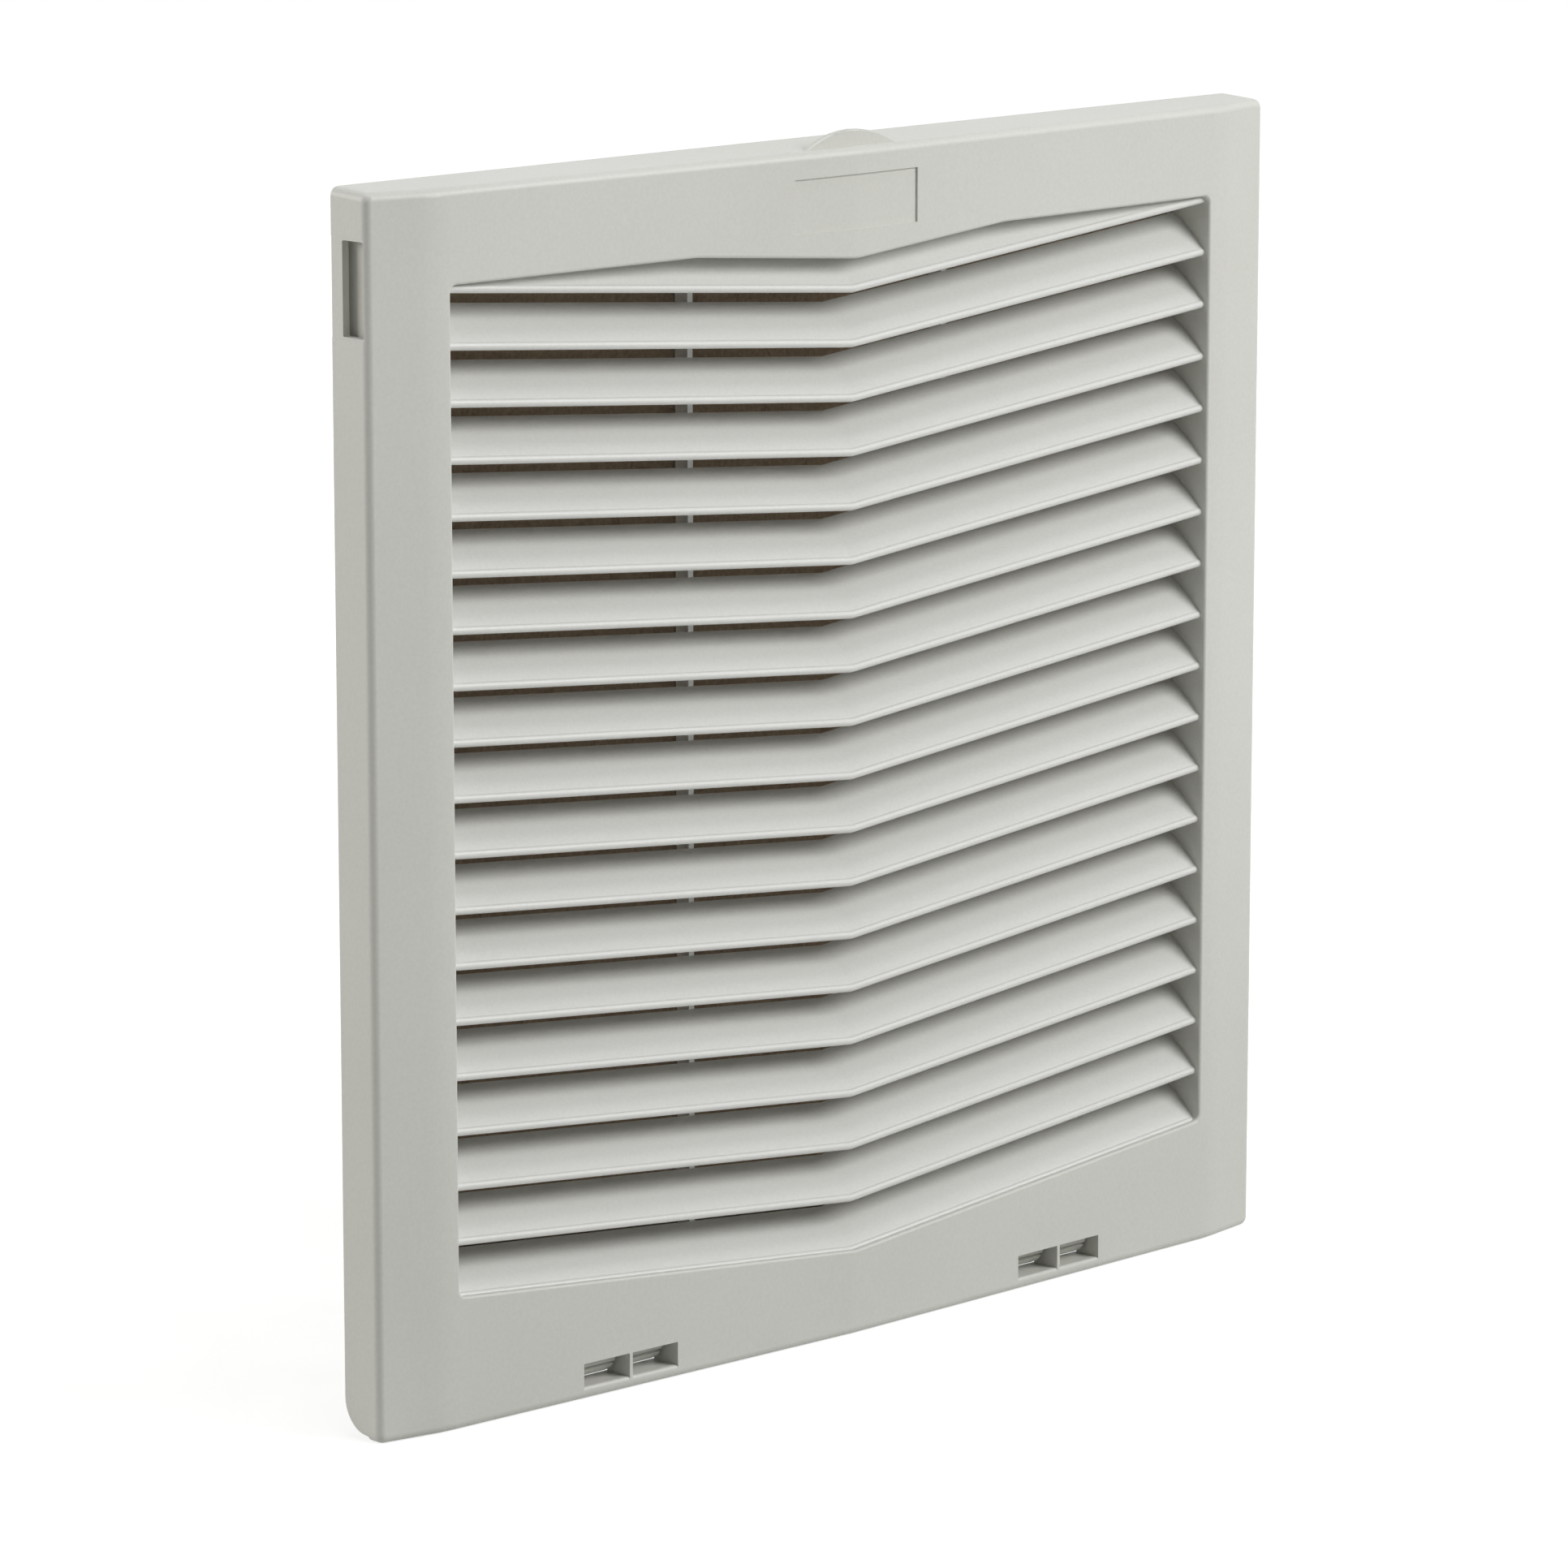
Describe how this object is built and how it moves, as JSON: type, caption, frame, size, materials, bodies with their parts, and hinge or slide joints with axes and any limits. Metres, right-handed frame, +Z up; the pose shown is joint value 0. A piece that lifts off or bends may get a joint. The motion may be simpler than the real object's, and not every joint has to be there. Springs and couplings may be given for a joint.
{
  "type": "exhaust filter grille",
  "caption": "Square snap-in exhaust filter grille: louvred cover with chevron slats hinged at its foot, base frame, filter mat, gasket and panel clips.",
  "frame": {"origin": "centre of the square cut-out, on the enclosure's outer face, where the gasket seals", "axes": "+X to the right seen from the front, +Y into the enclosure, +Z up"},
  "size_m": [0.323, 0.0327, 0.3265],
  "materials": {
    "cover_plastic": "light grey moulding, finely eroded surface",
    "frame_plastic": "light grey moulding, finely eroded surface",
    "mat_fibre": "dark bonded fibre, open and matt",
    "gasket_foam": "cellular foam",
    "clip_steel": "spring strip"
  },
  "bodies": {
    "base": {"base_frame": "frame_plastic", "filter_mat": "mat_fibre", "panel_gasket": "gasket_foam", "panel_clips": "clip_steel"},
    "cover": {"louvre_cover": "cover_plastic"}
  },
  "joints": [
    {"name": "cover_hinge", "type": "hinge", "parent": "base", "child": "cover", "pos_m": [0, -0.0092, -0.1512], "axis": [1, 0, 0], "range_deg": [0, 60]}
  ]
}
